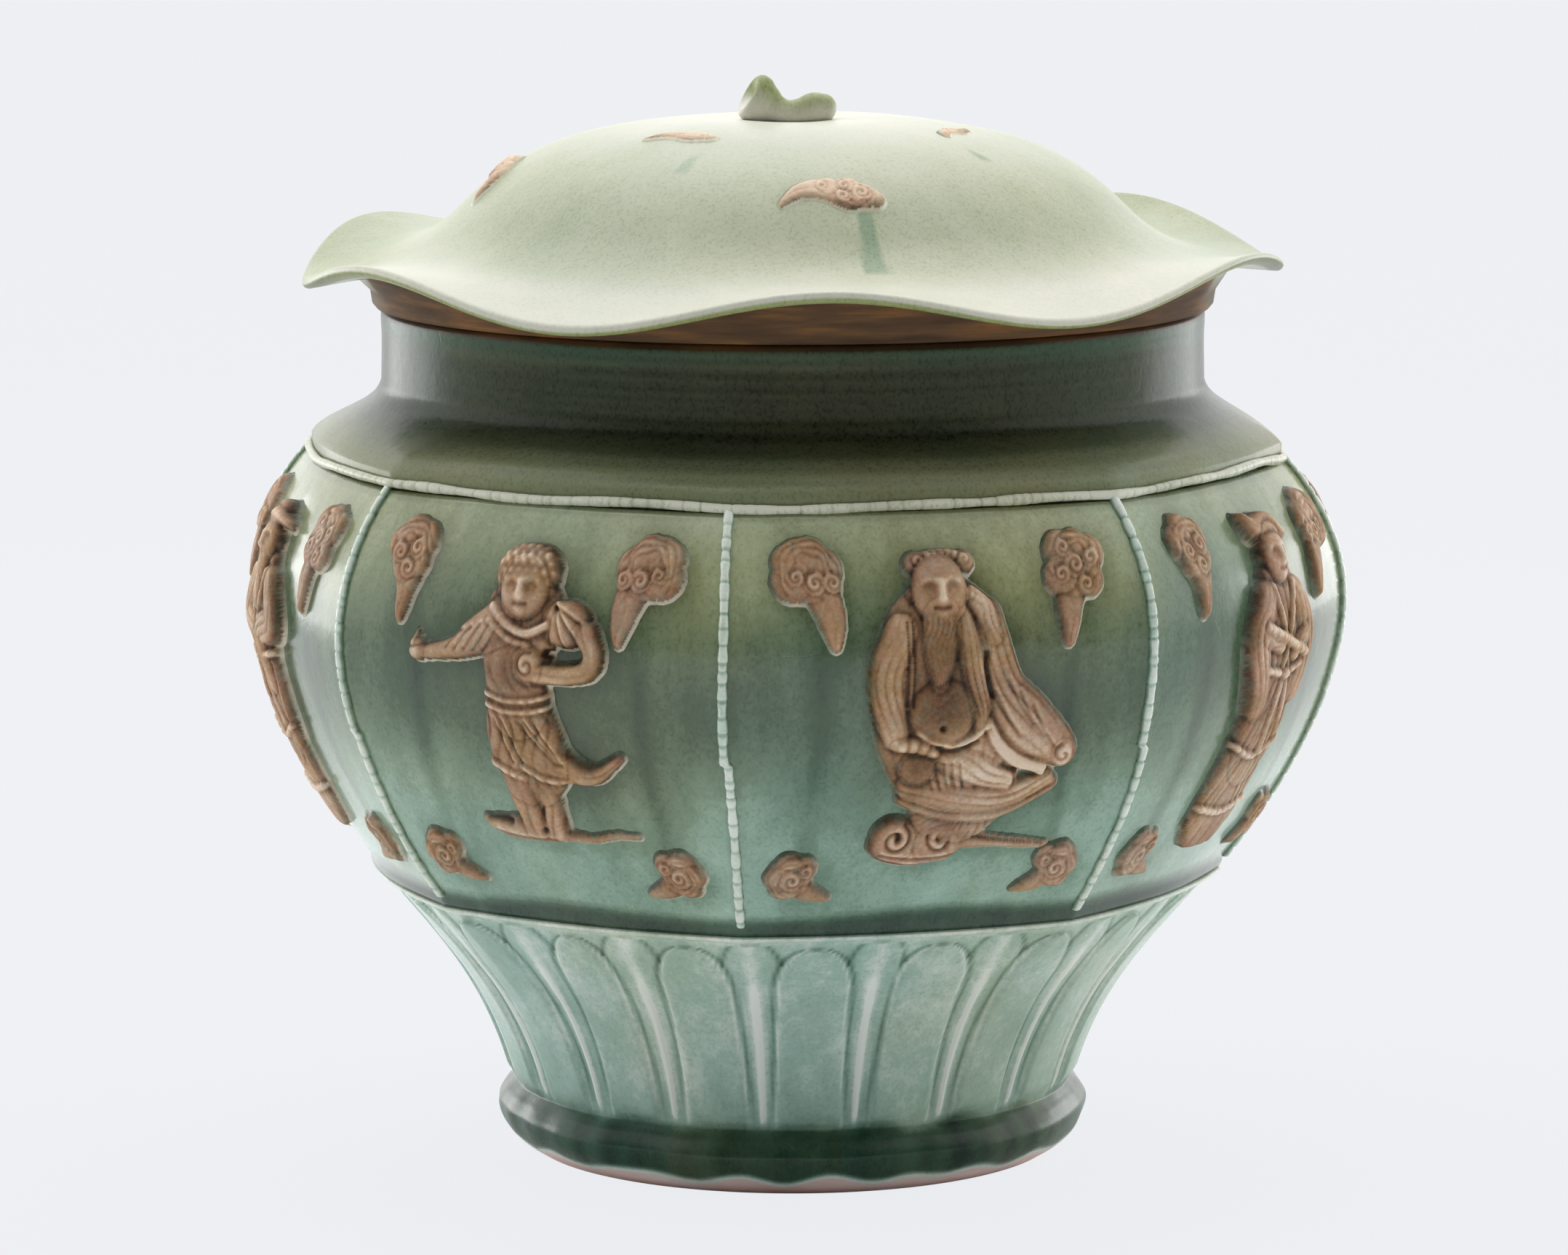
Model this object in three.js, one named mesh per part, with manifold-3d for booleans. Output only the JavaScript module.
// A celadon covered jar: an eight-panelled body on a lotus-petal foot, with sprigged figures and clouds
// in bare clay, and a lid shaped as a lotus leaf with its stalk for a knob.
// Millimetres, +Z up, the origin at the middle of the foot. An angle is measured from -Y towards +X.
import * as THREE from "three";
import { mergeVertices } from "three/addons/utils/BufferGeometryUtils.js";
import Module from "manifold-3d";

const wasm = await Module();
wasm.setup();

// Driving dimensions: the body
const PANELS = 8;
const PANEL_FLATNESS = 0.4; // 0 is a round body, 1 a true octagon
const BODY_WALL = 7;
const LUTING_GAP = 0.3; // left between pieces that are luted together
const FOOT_RADIUS = 74.5;
const FOOT_WIDTH = 13.5;
const FOOT_ROLL = 9.2; // how far the rolled glaze edge stands out past the foot
const FOOT_ROUND = 1.8; // how much the roll draws in below its widest point
const FOOT_HEIGHT = 18.5;
const WAIST_RADIUS = 78.8;
const LEDGE_HEIGHT = 82; // where the panels end and the petals begin
const LEDGE_RADIUS = 121;
const RIDGE_OUT = 3;
const RIDGE_THICKNESS = 4;
const RIDGE_UNDERCUT = 4; // of the petals' upper edge in from the ledge
const SKIRT_TIGHT = 7.2; // how far the petals swell low down, and how far in they stay before they flare
const SKIRT_FLARE = 15;
const BELLY_RISE = 75; // from the ledge to the widest point
const BELLY_RADIUS = 155;
const SEAM_RISE = 50; // from the ledge to where the two moulded halves of the belly meet
const BEAD_RISE = 40; // from the widest point to the beaded cord
const BEAD_RADIUS = 138.6;
const BEAD_THICKNESS = 4.2;
const NECK_RADIUS = 115.8;
const NECK_WALL = 6.5;
const SHOULDER_HEIGHT = 15; // from the cord to the neck
const NECK_HEIGHT = 26.9;
const SHOULDER_SLOPE = 5; // how far in the shoulder leans before it turns towards the neck
const SHOULDER_FILLET = 1.8; // of the turn from the shoulder up into the neck
const LIP_ROUND = 1.4;

// Driving dimensions: the base, the petals and the ribs
const WELL_TAPER = 2; // of the hollow under the foot
const BASE_SEAT_HEIGHT = 9;
const BASE_SEAT_WIDTH = 11;
const BASE_THICKNESS = 7;
const BASE_DISH = 3;
const BASE_PLAY = 1.5; // round the saucer inside the foot
const PETALS = 20;
const PETAL_RELIEF = 2.2;
const PETAL_TIP_HEIGHT = 76;
const PETAL_TURN = THREE.MathUtils.degToRad(-3.7); // of a groove between petals from the front
const RIB_WIDTH = 3.8;
const RIB_RELIEF = 1.8;

// Driving dimensions: the lid
const LID_RADIUS = 137.7;
const LID_RIM_RISE = 10.8; // these three are from the jar's mouth
const LID_CROWN_RISE = 53.5;
const LID_SHOULDER_RISE = 26.6;
const LID_SHOULDER_RADIUS = 95; // where the crown turns into the brim
const LID_SLOPE = 12; // the steep stretch above and below that turn
const BRIM_FLAT = 20;
const BRIM_FALL = 2; // over the flat outer part of the brim
const BRIM_STILL = 4; // of the brim next to the crown, which the waves leave level
const LID_WALL = 6;
const LID_RIM_THICKNESS = 3;
const LID_SEAT_OVERHANG = 2; // of the seat past the outside of the mouth
const LID_SEAT_STEP = 5; // how far the seat stands down from the brim
const WAVES = 6;
const WAVE_HEIGHT = 5.2;
const WAVE_TURN = THREE.MathUtils.degToRad(-12);
const WAVE_LAG = THREE.MathUtils.degToRad(10); // how far one crest is drawn on past its even place
const LAG_TURN = THREE.MathUtils.degToRad(118);
const LAG_SPREAD = THREE.MathUtils.degToRad(40);
const REAR_LIFT = 8.5; // how much higher the rim stands at the back
const LIFT_TURN = THREE.MathUtils.degToRad(150); // where it stands highest
const FLANGE_DEPTH = 12;
const FLANGE_WALL = 5.5;
const FLANGE_CLEARANCE = 2; // to the inside of the mouth
const STALK_RADIUS = 4.1;
const STALK_LENGTH = 21;
const STALK_BEND = 5.4; // radius of the bend along the stalk's middle
const STALK_SINK = 3.1; // how far it is pressed into the crown
const STALK_DROOP = 1;

// Driving dimensions: the sprigs
const SPRIG_BACK = -2; // sprigs are pressed this far in and then trimmed to the wall
const FIGURE_FOOTROOM = 19;
const FIGURE_HEADROOM = 10;
const FIGURE_UNITS = 86; // how tall the figures below are drawn, in units of their own
const CLOUD_SPREAD = 37.5; // of a cloud from the panel's middle
const HIGH_CLOUD_DROP = 15.5; // from the beaded line
const LOW_CLOUD_RISE = 17.5; // from the ledge
const HIGH_CLOUD = { head: 10, tail: 21, relief: 2.8, spokes: 10 };
const LOW_CLOUD = { head: 7.6, tail: 13, relief: 2.4, spokes: 8 };

// Derived places
const PANEL_ANGLE = (2 * Math.PI) / PANELS;
const BELLY_HEIGHT = LEDGE_HEIGHT + BELLY_RISE;
const SEAM_HEIGHT = LEDGE_HEIGHT + SEAM_RISE;
const BEAD_HEIGHT = BELLY_HEIGHT + BEAD_RISE;
const NECK_BASE_HEIGHT = BEAD_HEIGHT + SHOULDER_HEIGHT;
const MOUTH_HEIGHT = NECK_BASE_HEIGHT + NECK_HEIGHT;
const MOUTH_RADIUS = NECK_RADIUS - NECK_WALL;
const LID_SEAT_HEIGHT = MOUTH_HEIGHT + LUTING_GAP;
const LID_RIM_HEIGHT = MOUTH_HEIGHT + LID_RIM_RISE;
const LID_SHOULDER_HEIGHT = MOUTH_HEIGHT + LID_SHOULDER_RISE;
const LID_CROWN_HEIGHT = MOUTH_HEIGHT + LID_CROWN_RISE;
const LID_SEAT_RADIUS = NECK_RADIUS + LID_SEAT_OVERHANG;
const FLANGE_RADIUS = MOUTH_RADIUS - FLANGE_CLEARANCE;
const FLANGE_INNER_RADIUS = FLANGE_RADIUS - FLANGE_WALL;
const WELL_RADIUS = FOOT_RADIUS - FOOT_WIDTH;
const BASE_SEAT_RADIUS = WELL_RADIUS - WELL_TAPER + BASE_SEAT_WIDTH;
const LOWER_FULLNESS = 1.75; // exponents of the belly's curve below and above its widest point
const UPPER_FULLNESS = 2.15;

// Facets round the body and the lid
const BODY_FACETS = 4 * PANELS;
const SKIRT_FACETS = 3 * PETALS;
const LID_FACETS = 7 * WAVES;

// Materials
const clay = (color, roughness) => new THREE.MeshStandardMaterial({ color, roughness, metalness: 0 });
const BODY_GLAZE = clay(0x6f8f7d, 0.25);
const NECK_GLAZE = clay(0x68704f, 0.25);
const PETAL_GLAZE = clay(0x8fa99b, 0.25);
const LID_GLAZE = clay(0xc3cda9, 0.4);
const SLIP_WHITE = clay(0xb9c2b0, 0.4);
const BARE_CLAY = clay(0x9a7256, 0.85);
const BURNT_CLAY = clay(0x8a5a3c, 0.8);

// Small helpers
const point = (radius, height) => new THREE.Vector2(radius, height);
const share = (from, to, value) => THREE.MathUtils.clamp((value - from) / (to - from), 0, 1);
const steps = (count) => Array.from({ length: count + 1 }, (_, i) => i / count);
const between = (from, to, count) => steps(count).map((t) => THREE.MathUtils.lerp(from, to, t));

function solidOf(geometry) {
  const bare = geometry.clone();
  bare.deleteAttribute("normal");
  bare.deleteAttribute("uv");
  const merged = mergeVertices(bare, 1e-4);
  const vertProperties = merged.getAttribute("position").array;
  const triVerts = new Uint32Array(merged.index.array);
  return new wasm.Manifold(new wasm.Mesh({ numProp: 3, vertProperties, triVerts }));
}

function geometryOf(solid) {
  const mesh = solid.getMesh();
  const geometry = new THREE.BufferGeometry();
  geometry.setAttribute("position", new THREE.BufferAttribute(mesh.vertProperties, 3));
  geometry.setIndex(new THREE.BufferAttribute(mesh.triVerts, 1));
  return geometry;
}

// A closed profile of radius and height turned about Z. Sculpt moves each point once it is turned.
function turned(profile, facets, sculpt, start = 0) {
  const geometry = new THREE.LatheGeometry(profile, facets).rotateX(Math.PI / 2);
  const position = geometry.getAttribute("position");
  const row = profile.length;
  for (let i = 0; i < position.count; i++) {
    const angle = start + (2 * Math.PI * (Math.floor(i / row) % facets)) / facets;
    const at = sculpt(angle, profile[i % row], i % row);
    position.setXYZ(i, at.x * Math.sin(angle), -at.x * Math.cos(angle), at.y);
  }
  return geometry;
}

// A ring's profile, closed on itself, from its outside upwards and its inside downwards
const ringProfile = (outside, inside) => [...outside, ...inside, outside[0]];
const filledProfile = (outside) => [
  point(0, outside[0].y),
  ...outside,
  point(0, outside[outside.length - 1].y),
];

// The eight-sided body
function panelFactor(angle, flatness) {
  const offset = THREE.MathUtils.euclideanModulo(angle + PANEL_ANGLE / 2, PANEL_ANGLE) - PANEL_ANGLE / 2;
  return 1 - flatness * (1 - Math.cos(PANEL_ANGLE / 2) / Math.cos(offset));
}

function flatnessAt(height) {
  const rise = THREE.MathUtils.smoothstep(height, FOOT_HEIGHT, LEDGE_HEIGHT);
  const fall = THREE.MathUtils.smoothstep(height, BEAD_HEIGHT + BEAD_THICKNESS, NECK_BASE_HEIGHT);
  return PANEL_FLATNESS * rise * (1 - fall);
}

const panelled = (angle, at) => point(at.x * panelFactor(angle, flatnessAt(at.y)), at.y);

function bellyRadius(height) {
  const above = height > BELLY_HEIGHT;
  const end = above ? BEAD_HEIGHT : LEDGE_HEIGHT;
  const endRadius = above ? BEAD_RADIUS : LEDGE_RADIUS;
  const away = Math.abs((height - BELLY_HEIGHT) / (end - BELLY_HEIGHT));
  return BELLY_RADIUS - (BELLY_RADIUS - endRadius) * away ** (above ? UPPER_FULLNESS : LOWER_FULLNESS);
}

const bellyPoint = (height) => point(bellyRadius(height), height);
const innerPoint = (height) => point(bellyRadius(height) - BODY_WALL, height);
const LOWER_RINGS = between(LEDGE_HEIGHT + LUTING_GAP, SEAM_HEIGHT, 4);
const UPPER_RINGS = between(SEAM_HEIGHT + LUTING_GAP, BEAD_HEIGHT - LUTING_GAP, 5);
const INNER_STEPS = 2;
const SPARE = 1; // how far a cutting shape reaches past what it cuts

function bellyHalf(rings) {
  const inner = between(rings[rings.length - 1], rings[0], INNER_STEPS).map(innerPoint);
  return turned(ringProfile(rings.map(bellyPoint), inner), BODY_FACETS, panelled);
}

// A place on the belly: millimetres across from a panel's middle, a height, and a lift off the surface
function bellyPlace(panelAngle) {
  const surface = (across, height) => {
    const angle = panelAngle + across / bellyRadius(height);
    const radius = bellyRadius(height) * panelFactor(angle, PANEL_FLATNESS);
    return new THREE.Vector3(radius * Math.sin(angle), -radius * Math.cos(angle), height);
  };
  return liftedFrom(surface);
}

// The point that lies a given lift along the normal of a surface of two coordinates
function liftedFrom(surface) {
  const small = 0.5;
  return (across, up, lift) => {
    const along = surface(across + small, up).sub(surface(across - small, up));
    const upward = surface(across, up + small).sub(surface(across, up - small));
    return surface(across, up).addScaledVector(along.cross(upward).normalize(), lift);
  };
}

function laid(geometry, place) {
  const position = geometry.getAttribute("position");
  for (let i = 0; i < position.count; i++) {
    const at = place(position.getX(i), position.getY(i), position.getZ(i));
    position.setXYZ(i, at.x, at.y, at.z);
  }
  return geometry;
}

// The petal skirt with the foot ring, hollow and open below
function petalRelief(angle, height) {
  const along = share(FOOT_HEIGHT, PETAL_TIP_HEIGHT, height);
  const roundFrom = 0.78;
  const halfWidth = Math.sqrt(Math.max(0, 1 - share(roundFrom, 1, along) ** 2));
  const pitch = (2 * Math.PI) / PETALS;
  const off = Math.abs(THREE.MathUtils.euclideanModulo(angle - PETAL_TURN, pitch) - pitch / 2) / (pitch / 2);
  if (along <= 0 || off >= halfWidth) return 0;
  return PETAL_RELIEF * (1 - (off / halfWidth) ** 4) * THREE.MathUtils.smoothstep(along, 0, 0.12);
}

function skirtCurve() {
  const top = LEDGE_HEIGHT - RIDGE_THICKNESS;
  const waist = point(WAIST_RADIUS, FOOT_HEIGHT);
  const tight = point(WAIST_RADIUS + SKIRT_TIGHT, THREE.MathUtils.lerp(FOOT_HEIGHT, top, 0.5));
  const wide = point(LEDGE_RADIUS - SKIRT_FLARE, THREE.MathUtils.lerp(FOOT_HEIGHT, top, 0.78));
  return new THREE.CubicBezierCurve(waist, tight, wide, point(LEDGE_RADIUS - RIDGE_UNDERCUT, top));
}

function petalSkirt() {
  const roll = FOOT_RADIUS + FOOT_ROLL;
  const foot = [
    point(FOOT_RADIUS, 0),
    point(roll - FOOT_ROUND, 0.3 * FOOT_HEIGHT),
    point(roll, 0.68 * FOOT_HEIGHT),
  ];
  const petals = [0, 0.3, 0.6, 0.82, 0.94, 1].map((t) => skirtCurve().getPoint(t));
  const ridge = [
    point(LEDGE_RADIUS + RIDGE_OUT, LEDGE_HEIGHT - 0.6 * RIDGE_THICKNESS),
    point(LEDGE_RADIUS + 0.75 * RIDGE_OUT, LEDGE_HEIGHT),
  ];
  const carved = (angle, at) => {
    const shaped = panelled(angle, at);
    if (at.x > 0) shaped.x += petalRelief(angle, at.y);
    return shaped;
  };
  const outside = turned(filledProfile([...foot, ...petals, ...ridge]), SKIRT_FACETS, carved, PETAL_TURN);
  const wall = [0.05, 0.55].map((t) => skirtCurve().getPoint(t)).map((p) => point(p.x - BODY_WALL, p.y));
  const hollow = [
    point(WELL_RADIUS, -SPARE),
    point(WELL_RADIUS - WELL_TAPER, BASE_SEAT_HEIGHT),
    point(BASE_SEAT_RADIUS, BASE_SEAT_HEIGHT),
    ...wall,
    point(LEDGE_RADIUS - BODY_WALL, LEDGE_HEIGHT),
    point(LEDGE_RADIUS - BODY_WALL, LEDGE_HEIGHT + SPARE),
  ];
  const cutter = turned(filledProfile(hollow), BODY_FACETS, panelled);
  return geometryOf(solidOf(outside).subtract(solidOf(cutter)));
}

// The base is a saucer dropped in from above onto the step inside the foot
function baseSaucer() {
  const bottom = BASE_SEAT_HEIGHT + LUTING_GAP;
  const edge = BASE_SEAT_RADIUS - BASE_PLAY;
  const profile = [
    point(0, bottom),
    point(edge, bottom),
    point(edge, bottom + BASE_THICKNESS),
    point(0, bottom + BASE_THICKNESS - BASE_DISH),
  ];
  return turned(profile, BODY_FACETS, (angle, at) => at);
}

// The thrown collar: the shoulder and neck, with the beaded cord that covers its lower joint
function collar() {
  const bead = BEAD_THICKNESS;
  const shoulder = new THREE.CubicBezierCurve(
    point(BEAD_RADIUS - 0.1 * bead, BEAD_HEIGHT + bead),
    point(BEAD_RADIUS - SHOULDER_SLOPE, BEAD_HEIGHT + 0.73 * SHOULDER_HEIGHT),
    point(NECK_RADIUS + SHOULDER_FILLET, BEAD_HEIGHT + 0.83 * SHOULDER_HEIGHT),
    point(NECK_RADIUS, NECK_BASE_HEIGHT + 0.25 * NECK_HEIGHT),
  );
  const outside = [
    point(BEAD_RADIUS, BEAD_HEIGHT),
    point(BEAD_RADIUS + 0.48 * bead, BEAD_HEIGHT + 0.2 * bead),
    point(BEAD_RADIUS + 0.52 * bead, BEAD_HEIGHT + 0.7 * bead),
    ...[0, 0.3, 0.62, 1].map((t) => shoulder.getPoint(t)),
    point(NECK_RADIUS, MOUTH_HEIGHT - LIP_ROUND),
    point(NECK_RADIUS - LIP_ROUND, MOUTH_HEIGHT),
  ];
  const inside = [
    point(MOUTH_RADIUS + LIP_ROUND, MOUTH_HEIGHT),
    point(MOUTH_RADIUS, MOUTH_HEIGHT - LIP_ROUND),
    point(MOUTH_RADIUS, NECK_BASE_HEIGHT + 0.1 * NECK_HEIGHT),
    point(BEAD_RADIUS - BODY_WALL, BEAD_HEIGHT),
  ];
  return turned(ringProfile(outside, inside), BODY_FACETS, panelled);
}

// A beaded rib: a half-round strip laid up the corner between two panels
function rib() {
  const half = RIB_WIDTH / 2;
  const section = [
    [-half, LUTING_GAP],
    [0, LUTING_GAP],
    [half, LUTING_GAP],
    [0.5 * half, RIB_RELIEF],
    [-0.5 * half, RIB_RELIEF],
  ];
  const heights = [...LOWER_RINGS, ...UPPER_RINGS.slice(1, -1), BEAD_HEIGHT - 4 * LUTING_GAP];
  heights[0] += 1;
  return loft(heights.map((height) => section.map(([across, lift]) => [across, height, lift])));
}

// A closed solid through rings of points, each ring counter-clockwise seen from its start
function loft(rings) {
  const size = rings[0].length;
  const faces = [];
  for (let r = 0; r + 1 < rings.length; r++) {
    for (let i = 0; i < size; i++) {
      const [a, b] = [r * size + i, r * size + ((i + 1) % size)];
      faces.push(a, b + size, b, a, a + size, b + size);
    }
  }
  const last = (rings.length - 1) * size;
  for (let i = 1; i + 1 < size; i++) {
    faces.push(0, i, i + 1, last, last + i + 1, last + i);
  }
  const geometry = new THREE.BufferGeometry();
  geometry.setAttribute("position", new THREE.Float32BufferAttribute(rings.flat(2), 3));
  return geometry.setIndex(faces);
}

// A sprigged cloud: a curled head with a tail, as a polar relief round the middle of the head
function cloud({ head, tail, relief, spokes }, turn) {
  const lobe = 0.06;
  const nape = 0.66;
  const outline = (i) => {
    if (i === 0) return tail;
    const pinch = i === 1 || i === spokes - 1 ? nape : 1;
    return pinch * head * (1 - lobe * Math.cos(Math.PI * i));
  };
  const ring = (out, lift) =>
    Array.from({ length: spokes }, (_, i) => {
      const angle = turn - (2 * Math.PI * i) / spokes;
      const reach = out * outline(i);
      return [reach * Math.sin(angle), -reach * Math.cos(angle), lift(i / spokes)];
    });
  const edge = ring(1, () => 0.5 * relief);
  const curl = ring(0.58, (t) => relief * (0.78 + 0.34 * t));
  const back = ring(1, () => SPRIG_BACK);
  const points = [[0, 0, SPRIG_BACK], ...back, ...edge, ...curl, [0, 0, 0.8 * relief]];
  const faces = [];
  const top = points.length - 1;
  for (let i = 0; i < spokes; i++) {
    const next = (i + 1) % spokes;
    faces.push(0, 1 + i, 1 + next);
    for (let r = 0; r < 2; r++) {
      const [a, b] = [1 + r * spokes + i, 1 + r * spokes + next];
      faces.push(a, a + spokes, b + spokes, a, b + spokes, b);
    }
    faces.push(top, top - spokes + next, top - spokes + i);
  }
  const geometry = new THREE.BufferGeometry();
  geometry.setAttribute("position", new THREE.Float32BufferAttribute(points.flat(), 3));
  return geometry.setIndex(faces);
}

// The forms that a figure is pressed from, in its own drawing: x across, y up from its feet, z off the wall
function ball(x, y, wide, tall, lift) {
  return new THREE.SphereGeometry(1, 9, 4).rotateX(Math.PI / 2).scale(wide, tall, lift).translate(x, y, 0);
}

// A sleeve, limb, robe or staff: a rounded stroke through stations of x, y, half width and lift
function stroke(...stations) {
  const rings = stations.map(([x, y, half, lift], i) => {
    const [from, to] = [stations[Math.max(i - 1, 0)], stations[Math.min(i + 1, stations.length - 1)]];
    const side = new THREE.Vector2(from[1] - to[1], to[0] - from[0]).normalize().multiplyScalar(half);
    const section = [
      [-1, SPRIG_BACK],
      [1, SPRIG_BACK],
      [0.78, 0.7 * lift],
      [0, lift],
      [-0.78, 0.7 * lift],
    ];
    return section.map(([out, z]) => [x - out * side.x, y - out * side.y, z]);
  });
  return loft(rings);
}

const cloudPad = () => [
  ball(-5, 7, 14, 6.5, 3.6),
  stroke([4, 5.5, 2.4, 2.6], [19, 5.5, 1.8, 2.2], [33, 5, 0.8, 1.4]),
];

function seatedSage() {
  return [
    ...cloudPad(),
    ball(-2.5, 74.5, 8.4, 9.4, 6.2),
    ball(-8, 82, 4, 3.8, 4.2),
    ball(4.4, 82.4, 4, 3.8, 4.2),
    stroke([-3, 71, 5.6, 6.2], [-3.2, 62, 4.6, 5.8], [-3.4, 51, 1.4, 5.2]),
    stroke([-1, 70, 8, 3.6], [-0.5, 61, 17.5, 4.4], [0, 46, 20.5, 4.6], [4, 27, 19, 3.8], [3, 11, 11, 3]),
    ball(-1.5, 43.5, 9.5, 9, 6.8),
    stroke([-13, 65, 4, 5], [-17.5, 50, 4.4, 5.6], [-12, 35, 4, 5]),
    stroke([14, 60, 7, 4.8], [22, 44, 8.5, 4.8], [34, 32, 6, 3.4]),
    stroke([-15, 30, 4.5, 4.8], [0, 26, 6.5, 5.4], [29, 21, 4, 3]),
  ];
}

function runningFigure() {
  return [
    ball(2.5, 76.5, 9.2, 9.8, 6.2),
    stroke([3.5, 71, 8, 5.4], [4.5, 62, 4, 4.8]),
    stroke([-4, 67.5, 5.4, 4.8], [-17, 60, 4.2, 4.2], [-28, 57.5, 3, 3.6]),
    ball(-30.5, 58, 3.8, 4, 3.8),
    stroke([8, 70, 13, 4], [6, 58, 13.5, 4.8], [1, 46.5, 10.4, 4.8], [1.5, 34, 13, 4.4], [3, 25, 14.5, 3.6]),
    stroke([17, 69, 5.4, 4.8], [25, 60, 4.6, 4.8], [21, 54, 3.8, 5], [8, 53.5, 3.2, 5.6]),
    ball(6.5, 55.5, 4.8, 5, 6.6),
    stroke([8, 30, 6.5, 4.2], [19, 26.5, 5, 4], [29.5, 30, 3, 3.4]),
    stroke([-0.5, 29, 7, 4.2], [1, 17, 5.4, 4.2], [3.5, 8, 4.4, 3.6]),
    stroke([-18, 11, 1.8, 2.4], [-7, 7.5, 4.2, 3.2], [8, 7, 3.2, 3], [31, 7.6, 1, 1.7]),
  ];
}

// A standing figure in a long robe. Sweep carries the hem to one side, and hats and hands differ.
const HATS = {
  cap: () => [ball(1, 82.5, 8.6, 3.6, 5)],
  topknot: () => [ball(0, 84, 4, 3.2, 4.4)],
  veil: () => [ball(0, 79, 8.4, 6.6, 4.6), stroke([5, 78, 3.6, 4], [8, 69, 2.6, 3.4])],
  brim: () => [
    ball(0, 83, 6, 3.4, 5),
    stroke([-11, 80.5, 1.4, 3.4], [0, 81.6, 2, 5.2], [11, 80.5, 1.4, 3.4]),
  ],
};
const HANDS = {
  clasped: () => [
    stroke([-9, 65, 4.6, 4.2], [-12, 55, 4.8, 4.8], [-2, 50, 4.4, 5.4], [-1, 40, 3, 4.6]),
    stroke([9, 65, 4.6, 4.2], [12, 55, 4.8, 4.8], [2, 51, 4.4, 5.4]),
  ],
  staff: () => [
    stroke([-9, 65, 4.6, 4.2], [-15, 57, 4, 4.4], [-17.5, 63, 2.8, 4]),
    stroke([-17.5, 82, 1.3, 3.6], [-17.5, 62, 1.5, 3.8], [-16.5, 34, 1.3, 3.4]),
    stroke([9, 65, 4.6, 4.2], [13, 52, 5.2, 4.6], [9, 39, 5.4, 4.2]),
  ],
  fan: () => [
    stroke([9, 65, 4.6, 4.2], [15, 58, 4, 4.4], [18, 69, 2.2, 3.8]),
    ball(18.5, 71.5, 4.2, 6, 3.4),
    stroke([-9, 65, 4.6, 4.2], [-13, 52, 5.2, 4.6], [-10, 38, 5.6, 4.2]),
  ],
  scroll: () => [
    stroke([-9, 65, 4.6, 4.2], [-13, 54, 4.8, 4.8], [-4, 52, 3.6, 5.4]),
    stroke([9, 65, 4.6, 4.2], [13, 54, 4.8, 4.8], [6, 47, 4.6, 5.2]),
    stroke([-13, 59, 1.9, 5.4], [12, 49.5, 1.9, 5.4]),
  ],
};

function robedFigure({ hat, hands, sweep, beard }) {
  const chin = beard ? [stroke([0, 71, 4.4, 5.6], [0, 58, 1.6, 4.8])] : [];
  const hem = 1.6 * sweep;
  return [
    ball(0, 75, 7, 8.6, 6),
    ...HATS[hat](),
    ...chin,
    stroke([0, 70, 7, 3.4], [0, 63, 11.5, 4.2], [0, 48, 10, 4.4], [sweep, 26, 12, 4], [hem, 9, 14, 3]),
    ...HANDS[hands](),
    stroke([hem - 11, 5, 2.4, 3], [hem, 7, 4, 2.4], [hem + 9, 5, 2.4, 3]),
  ];
}

// The eight panels from the front, counter-clockwise seen from above
const FIGURES = [
  { name: "seated_sage", forms: seatedSage() },
  { name: "capped_figure", forms: robedFigure({ hat: "cap", hands: "scroll", sweep: -4, beard: false }) },
  { name: "staff_figure", forms: robedFigure({ hat: "brim", hands: "staff", sweep: 3, beard: true }) },
  { name: "fan_figure", forms: robedFigure({ hat: "topknot", hands: "fan", sweep: -3, beard: true }) },
  { name: "veiled_figure", forms: robedFigure({ hat: "veil", hands: "clasped", sweep: 3, beard: false }) },
  { name: "scroll_figure", forms: robedFigure({ hat: "topknot", hands: "scroll", sweep: 4, beard: true }) },
  { name: "robed_figure", forms: robedFigure({ hat: "brim", hands: "clasped", sweep: -3, beard: true }) },
  { name: "running_figure", forms: runningFigure() },
];

// The belly's outside raised by the luting gap and filled, to trim the sprigs' backs to the wall
function bellyTrim() {
  const place = bellyPlace(0);
  const rings = [...LOWER_RINGS, ...UPPER_RINGS];
  const profile = filledProfile(rings.map(bellyPoint));
  const raised = (angle, at) => {
    if (at.x === 0) return at;
    const lifted = place(angle * bellyRadius(at.y), at.y, LUTING_GAP);
    return point(Math.hypot(lifted.x, lifted.y), at.y);
  };
  return solidOf(turned(profile, BODY_FACETS, raised));
}

const FIGURE_FOOT_HEIGHT = LEDGE_HEIGHT + FIGURE_FOOTROOM;
const FIGURE_SCALE = (BEAD_HEIGHT - FIGURE_HEADROOM - FIGURE_FOOT_HEIGHT) / FIGURE_UNITS;

function standing(form) {
  return form.scale(FIGURE_SCALE, FIGURE_SCALE, FIGURE_SCALE).translate(0, FIGURE_FOOT_HEIGHT, 0);
}

// Forms laid on a surface, joined, and trimmed to it
function sprigged(forms, place, trim) {
  const solids = forms.map((form) => solidOf(laid(form, place)));
  return geometryOf(solids.reduce((whole, next) => whole.add(next)).subtract(trim));
}

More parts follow.
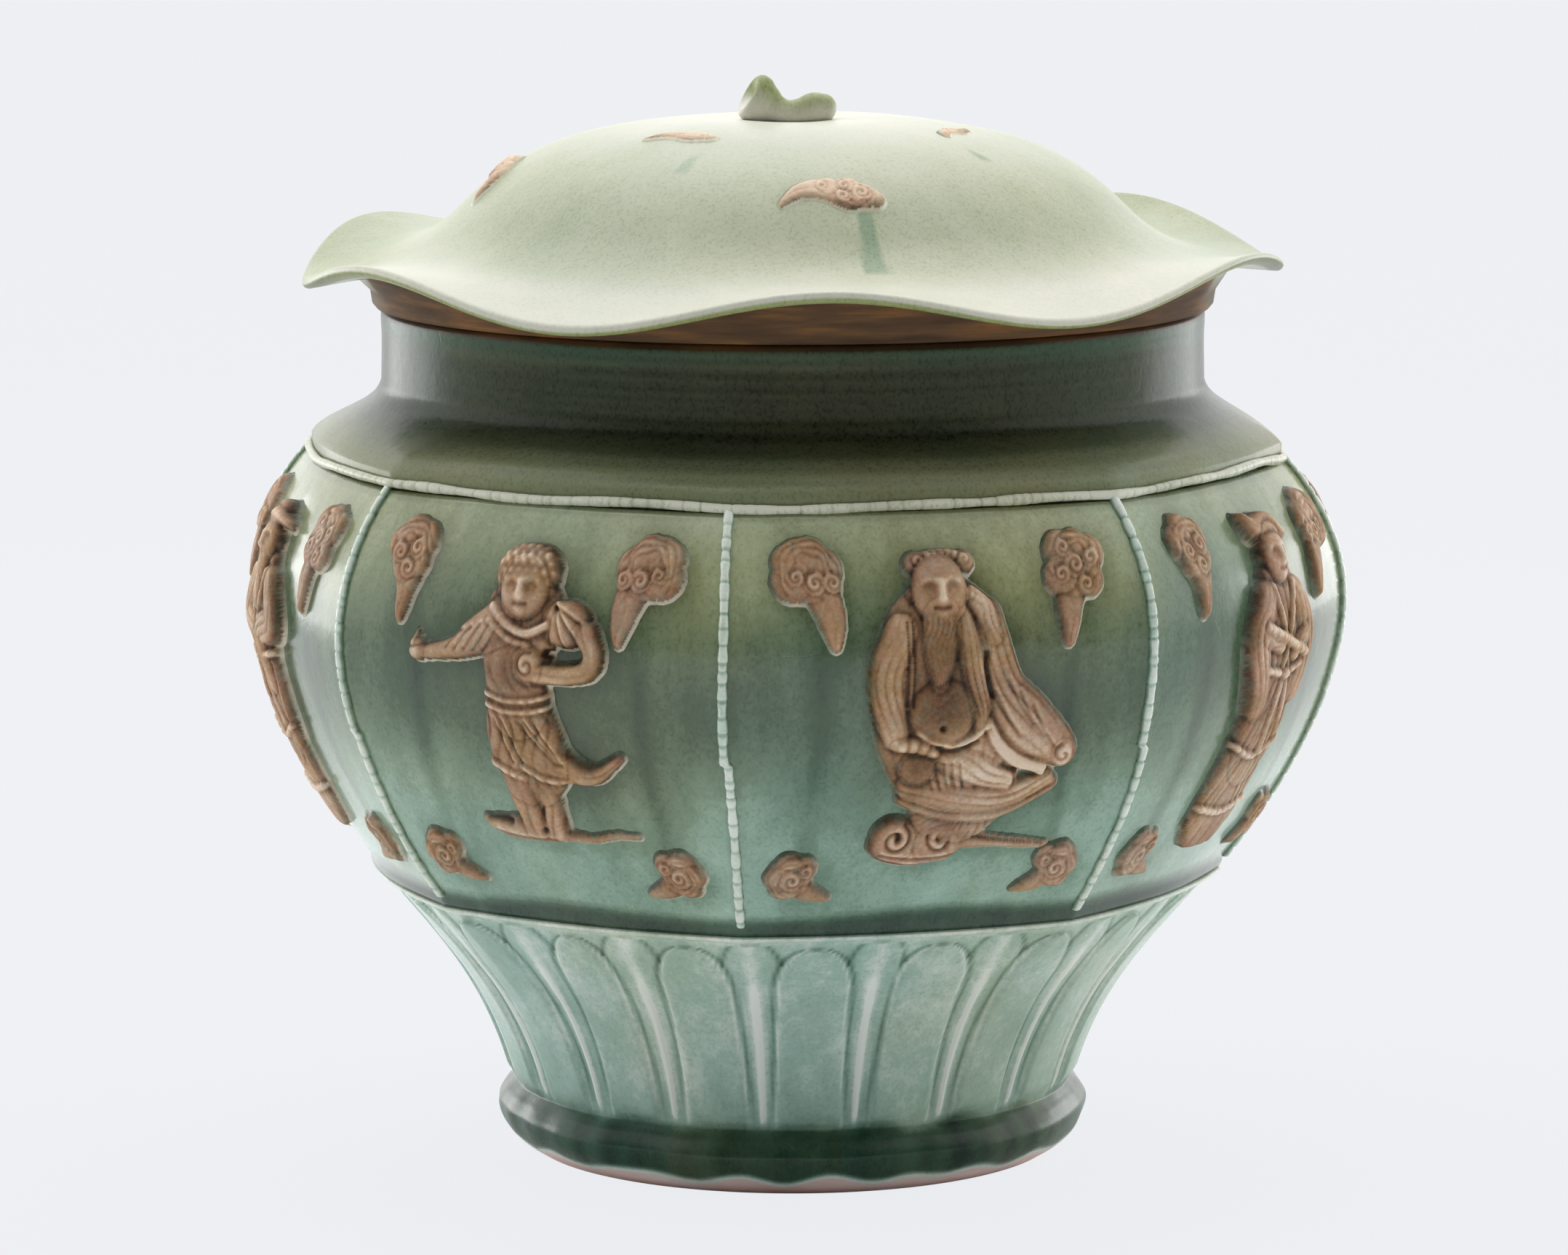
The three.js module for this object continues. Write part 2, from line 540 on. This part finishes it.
// The lotus-leaf lid
const LEAF_TOP = new THREE.CurvePath();
LEAF_TOP.add(
  new THREE.CubicBezierCurve(
    point(0, LID_CROWN_HEIGHT),
    point(0.72 * LID_SHOULDER_RADIUS, LID_CROWN_HEIGHT),
    point(LID_SHOULDER_RADIUS - LID_SLOPE, LID_SHOULDER_HEIGHT + LID_SLOPE),
    point(LID_SHOULDER_RADIUS, LID_SHOULDER_HEIGHT),
  ),
);
LEAF_TOP.add(
  new THREE.CubicBezierCurve(
    point(LID_SHOULDER_RADIUS, LID_SHOULDER_HEIGHT),
    point(LID_SHOULDER_RADIUS + 0.86 * LID_SLOPE, LID_SHOULDER_HEIGHT - 0.86 * LID_SLOPE),
    point(LID_RADIUS - BRIM_FLAT, LID_RIM_HEIGHT + BRIM_FALL),
    point(LID_RADIUS, LID_RIM_HEIGHT),
  ),
);

function leafHeight(radius) {
  let [low, high] = [0, 1];
  for (let i = 0; i < 30; i++) {
    const middle = (low + high) / 2;
    if (LEAF_TOP.getPoint(middle).x < radius) low = middle;
    else high = middle;
  }
  return LEAF_TOP.getPoint(low).y;
}

// How far the leaf's wave lifts a point of the brim
function leafWave(angle, radius) {
  const grown = share(LID_SHOULDER_RADIUS + BRIM_STILL, LID_RADIUS, radius) ** 1.6;
  const rear = (1 + Math.cos(angle - LIFT_TURN)) / 2;
  const lag = WAVE_LAG * Math.exp(-(((angle - LAG_TURN) / LAG_SPREAD) ** 2));
  return grown * (WAVE_HEIGHT * Math.cos(WAVES * (angle - WAVE_TURN - lag)) + REAR_LIFT * rear);
}

// The leaf's upper side, from the rim to the crown
const leafSide = () => [0.985, 0.84, 0.68, 0.54, 0.42, 0.24, 0].map((t) => LEAF_TOP.getPoint(t));
const wavy = (angle, at) => point(at.x, at.y + leafWave(angle, at.x));

function leafTrim() {
  const raised = leafSide().map((at) => point(at.x, at.y + LUTING_GAP / Math.cos(Math.PI / 4)));
  const under = [point(0, LID_SEAT_HEIGHT), point(raised[0].x, LID_SEAT_HEIGHT)];
  return solidOf(turned([...under, ...raised], LID_FACETS, wavy));
}

function lidLeaf() {
  const rim = point(LID_RADIUS, LID_RIM_HEIGHT - 0.55 * LID_RIM_THICKNESS);
  const under = (radius) => point(radius, leafHeight(radius) - LID_RIM_THICKNESS);
  const brim = [under(LID_RADIUS - 0.5 * LID_RIM_THICKNESS), under(LID_SEAT_RADIUS + LID_SEAT_STEP)];
  const seat = [
    point(LID_SEAT_RADIUS + 0.2 * LID_SEAT_STEP, LID_SEAT_HEIGHT + LID_SEAT_STEP),
    point(LID_SEAT_RADIUS, LID_SEAT_HEIGHT),
    point(FLANGE_INNER_RADIUS - 1, LID_SEAT_HEIGHT),
  ];
  const inside = [0.66, 0.48, 0.26].map((t) => {
    const out = LEAF_TOP.getTangent(t);
    return LEAF_TOP.getPoint(t).add(point(out.y, -out.x).multiplyScalar(LID_WALL));
  });
  const hollow = point(0, LID_CROWN_HEIGHT - LID_WALL);
  const still = [hollow, ...inside.toReversed(), ...seat.toReversed()];
  const waved = [...brim.toReversed(), rim, ...leafSide()];
  const sculpt = (angle, at, i) => (i < still.length ? at : wavy(angle, at));
  return turned([...still, ...waved], LID_FACETS, sculpt);
}

// A place on the lid: millimetres across, and inwards from a radius towards the crown
function leafPlace(centreAngle, centreRadius) {
  return liftedFrom((across, inward) => {
    const radius = centreRadius - inward;
    const angle = centreAngle + across / centreRadius;
    const height = leafHeight(radius) + leafWave(angle, radius);
    return new THREE.Vector3(radius * Math.sin(angle), -radius * Math.cos(angle), height);
  });
}

function lidFlange() {
  const top = LID_SEAT_HEIGHT - LUTING_GAP;
  const outside = [
    point(FLANGE_RADIUS - 1, top - FLANGE_DEPTH),
    point(FLANGE_RADIUS, top),
  ];
  const inside = [point(FLANGE_INNER_RADIUS, top), point(FLANGE_INNER_RADIUS + 1, top - FLANGE_DEPTH)];
  return turned(ringProfile(outside, inside), BODY_FACETS, (angle, at) => at);
}

// The leaf's stalk, laid along the crown with its cut end bent up
function stalkKnob() {
  const base = LID_CROWN_HEIGHT + STALK_RADIUS - STALK_SINK;
  const right = STALK_LENGTH / 2;
  const left = -right + STALK_BEND;
  const bend = [30, 60, 90, 125].map(THREE.MathUtils.degToRad);
  const path = new THREE.CatmullRomCurve3([
    new THREE.Vector3(right, 0, base - STALK_DROOP),
    new THREE.Vector3((right + left) / 2, 0, base),
    new THREE.Vector3(left, 0, base),
    ...bend.map((turn) => {
      const rise = STALK_BEND * (1 - Math.cos(turn));
      return new THREE.Vector3(left - STALK_BEND * Math.sin(turn), 0, base + rise);
    }),
  ]);
  const section = new THREE.Shape().absellipse(0, 0, STALK_RADIUS, STALK_RADIUS, 0, 2 * Math.PI);
  const stalk = new THREE.ExtrudeGeometry(section, { extrudePath: path, steps: 9, curveSegments: 4 });
  const raised = [
    point(STALK_LENGTH, LID_SHOULDER_HEIGHT),
    point(STALK_LENGTH, LID_CROWN_HEIGHT + LUTING_GAP),
  ];
  const trim = turned(filledProfile(raised), BODY_FACETS, (angle, at) => at);
  return geometryOf(solidOf(stalk).subtract(solidOf(trim)));
}

// Assembly
const jar = new THREE.Group();
const lid = new THREE.Group();
jar.add(lid);

function add(group, name, geometry, material) {
  const mesh = new THREE.Mesh(geometry, material);
  mesh.name = name;
  group.add(mesh);
  return mesh;
}

add(jar, "petal_skirt", petalSkirt(), PETAL_GLAZE);
add(jar, "base_saucer", baseSaucer(), BODY_GLAZE);
add(jar, "lower_belly", bellyHalf(LOWER_RINGS), BODY_GLAZE);
add(jar, "upper_belly", bellyHalf(UPPER_RINGS), BODY_GLAZE);
add(jar, "collar", collar(), NECK_GLAZE);

const wallTrim = bellyTrim();
const SIDES = { left: -1, right: 1 };
const HIGH_CLOUD_TURN = THREE.MathUtils.degToRad(10);
const LOW_CLOUD_TURN = THREE.MathUtils.degToRad(58);
FIGURES.forEach(({ name, forms }, panel) => {
  const place = bellyPlace(panel * PANEL_ANGLE);
  const corner = bellyPlace((panel + 0.5) * PANEL_ANGLE);
  add(jar, `rib_${panel + 1}`, laid(rib(), corner), SLIP_WHITE);
  add(jar, name, sprigged(forms.map(standing), place, wallTrim), BARE_CLAY);
  for (const [side, sign] of Object.entries(SIDES)) {
    const high = cloud(HIGH_CLOUD, -sign * HIGH_CLOUD_TURN);
    high.translate(sign * CLOUD_SPREAD, BEAD_HEIGHT - HIGH_CLOUD_DROP, 0);
    add(jar, `high_cloud_${panel + 1}_${side}`, sprigged([high], place, wallTrim), BARE_CLAY);
    const low = cloud(LOW_CLOUD, -sign * LOW_CLOUD_TURN);
    low.translate(sign * CLOUD_SPREAD, LEDGE_HEIGHT + LOW_CLOUD_RISE, 0);
    add(jar, `low_cloud_${panel + 1}_${side}`, sprigged([low], place, wallTrim), BARE_CLAY);
  }
});

add(lid, "lid_leaf", lidLeaf(), LID_GLAZE);
add(lid, "lid_flange", lidFlange(), BURNT_CLAY);
add(lid, "stalk_knob", stalkKnob(), LID_GLAZE);
const LID_CLOUDS = {
  front: { angle: -6, radius: 83, turn: -75, size: { head: 7, tail: 19, relief: 2.6, spokes: 8 } },
  left: { angle: -104, radius: 80, turn: 60, size: { head: 7, tail: 14, relief: 2.4, spokes: 8 } },
  near_crown: { angle: -47, radius: 50, turn: -70, size: { head: 6, tail: 14, relief: 2.2, spokes: 8 } },
  far_crown: { angle: 50, radius: 50, turn: -70, size: { head: 6, tail: 12, relief: 2.2, spokes: 8 } },
};
const lidTrim = leafTrim();
for (const [side, { angle, radius, turn, size }] of Object.entries(LID_CLOUDS)) {
  const place = leafPlace(THREE.MathUtils.degToRad(angle), radius);
  const curl = cloud(size, THREE.MathUtils.degToRad(turn));
  add(lid, `lid_cloud_${side}`, sprigged([curl], place, lidTrim), BARE_CLAY);
}

export default jar;
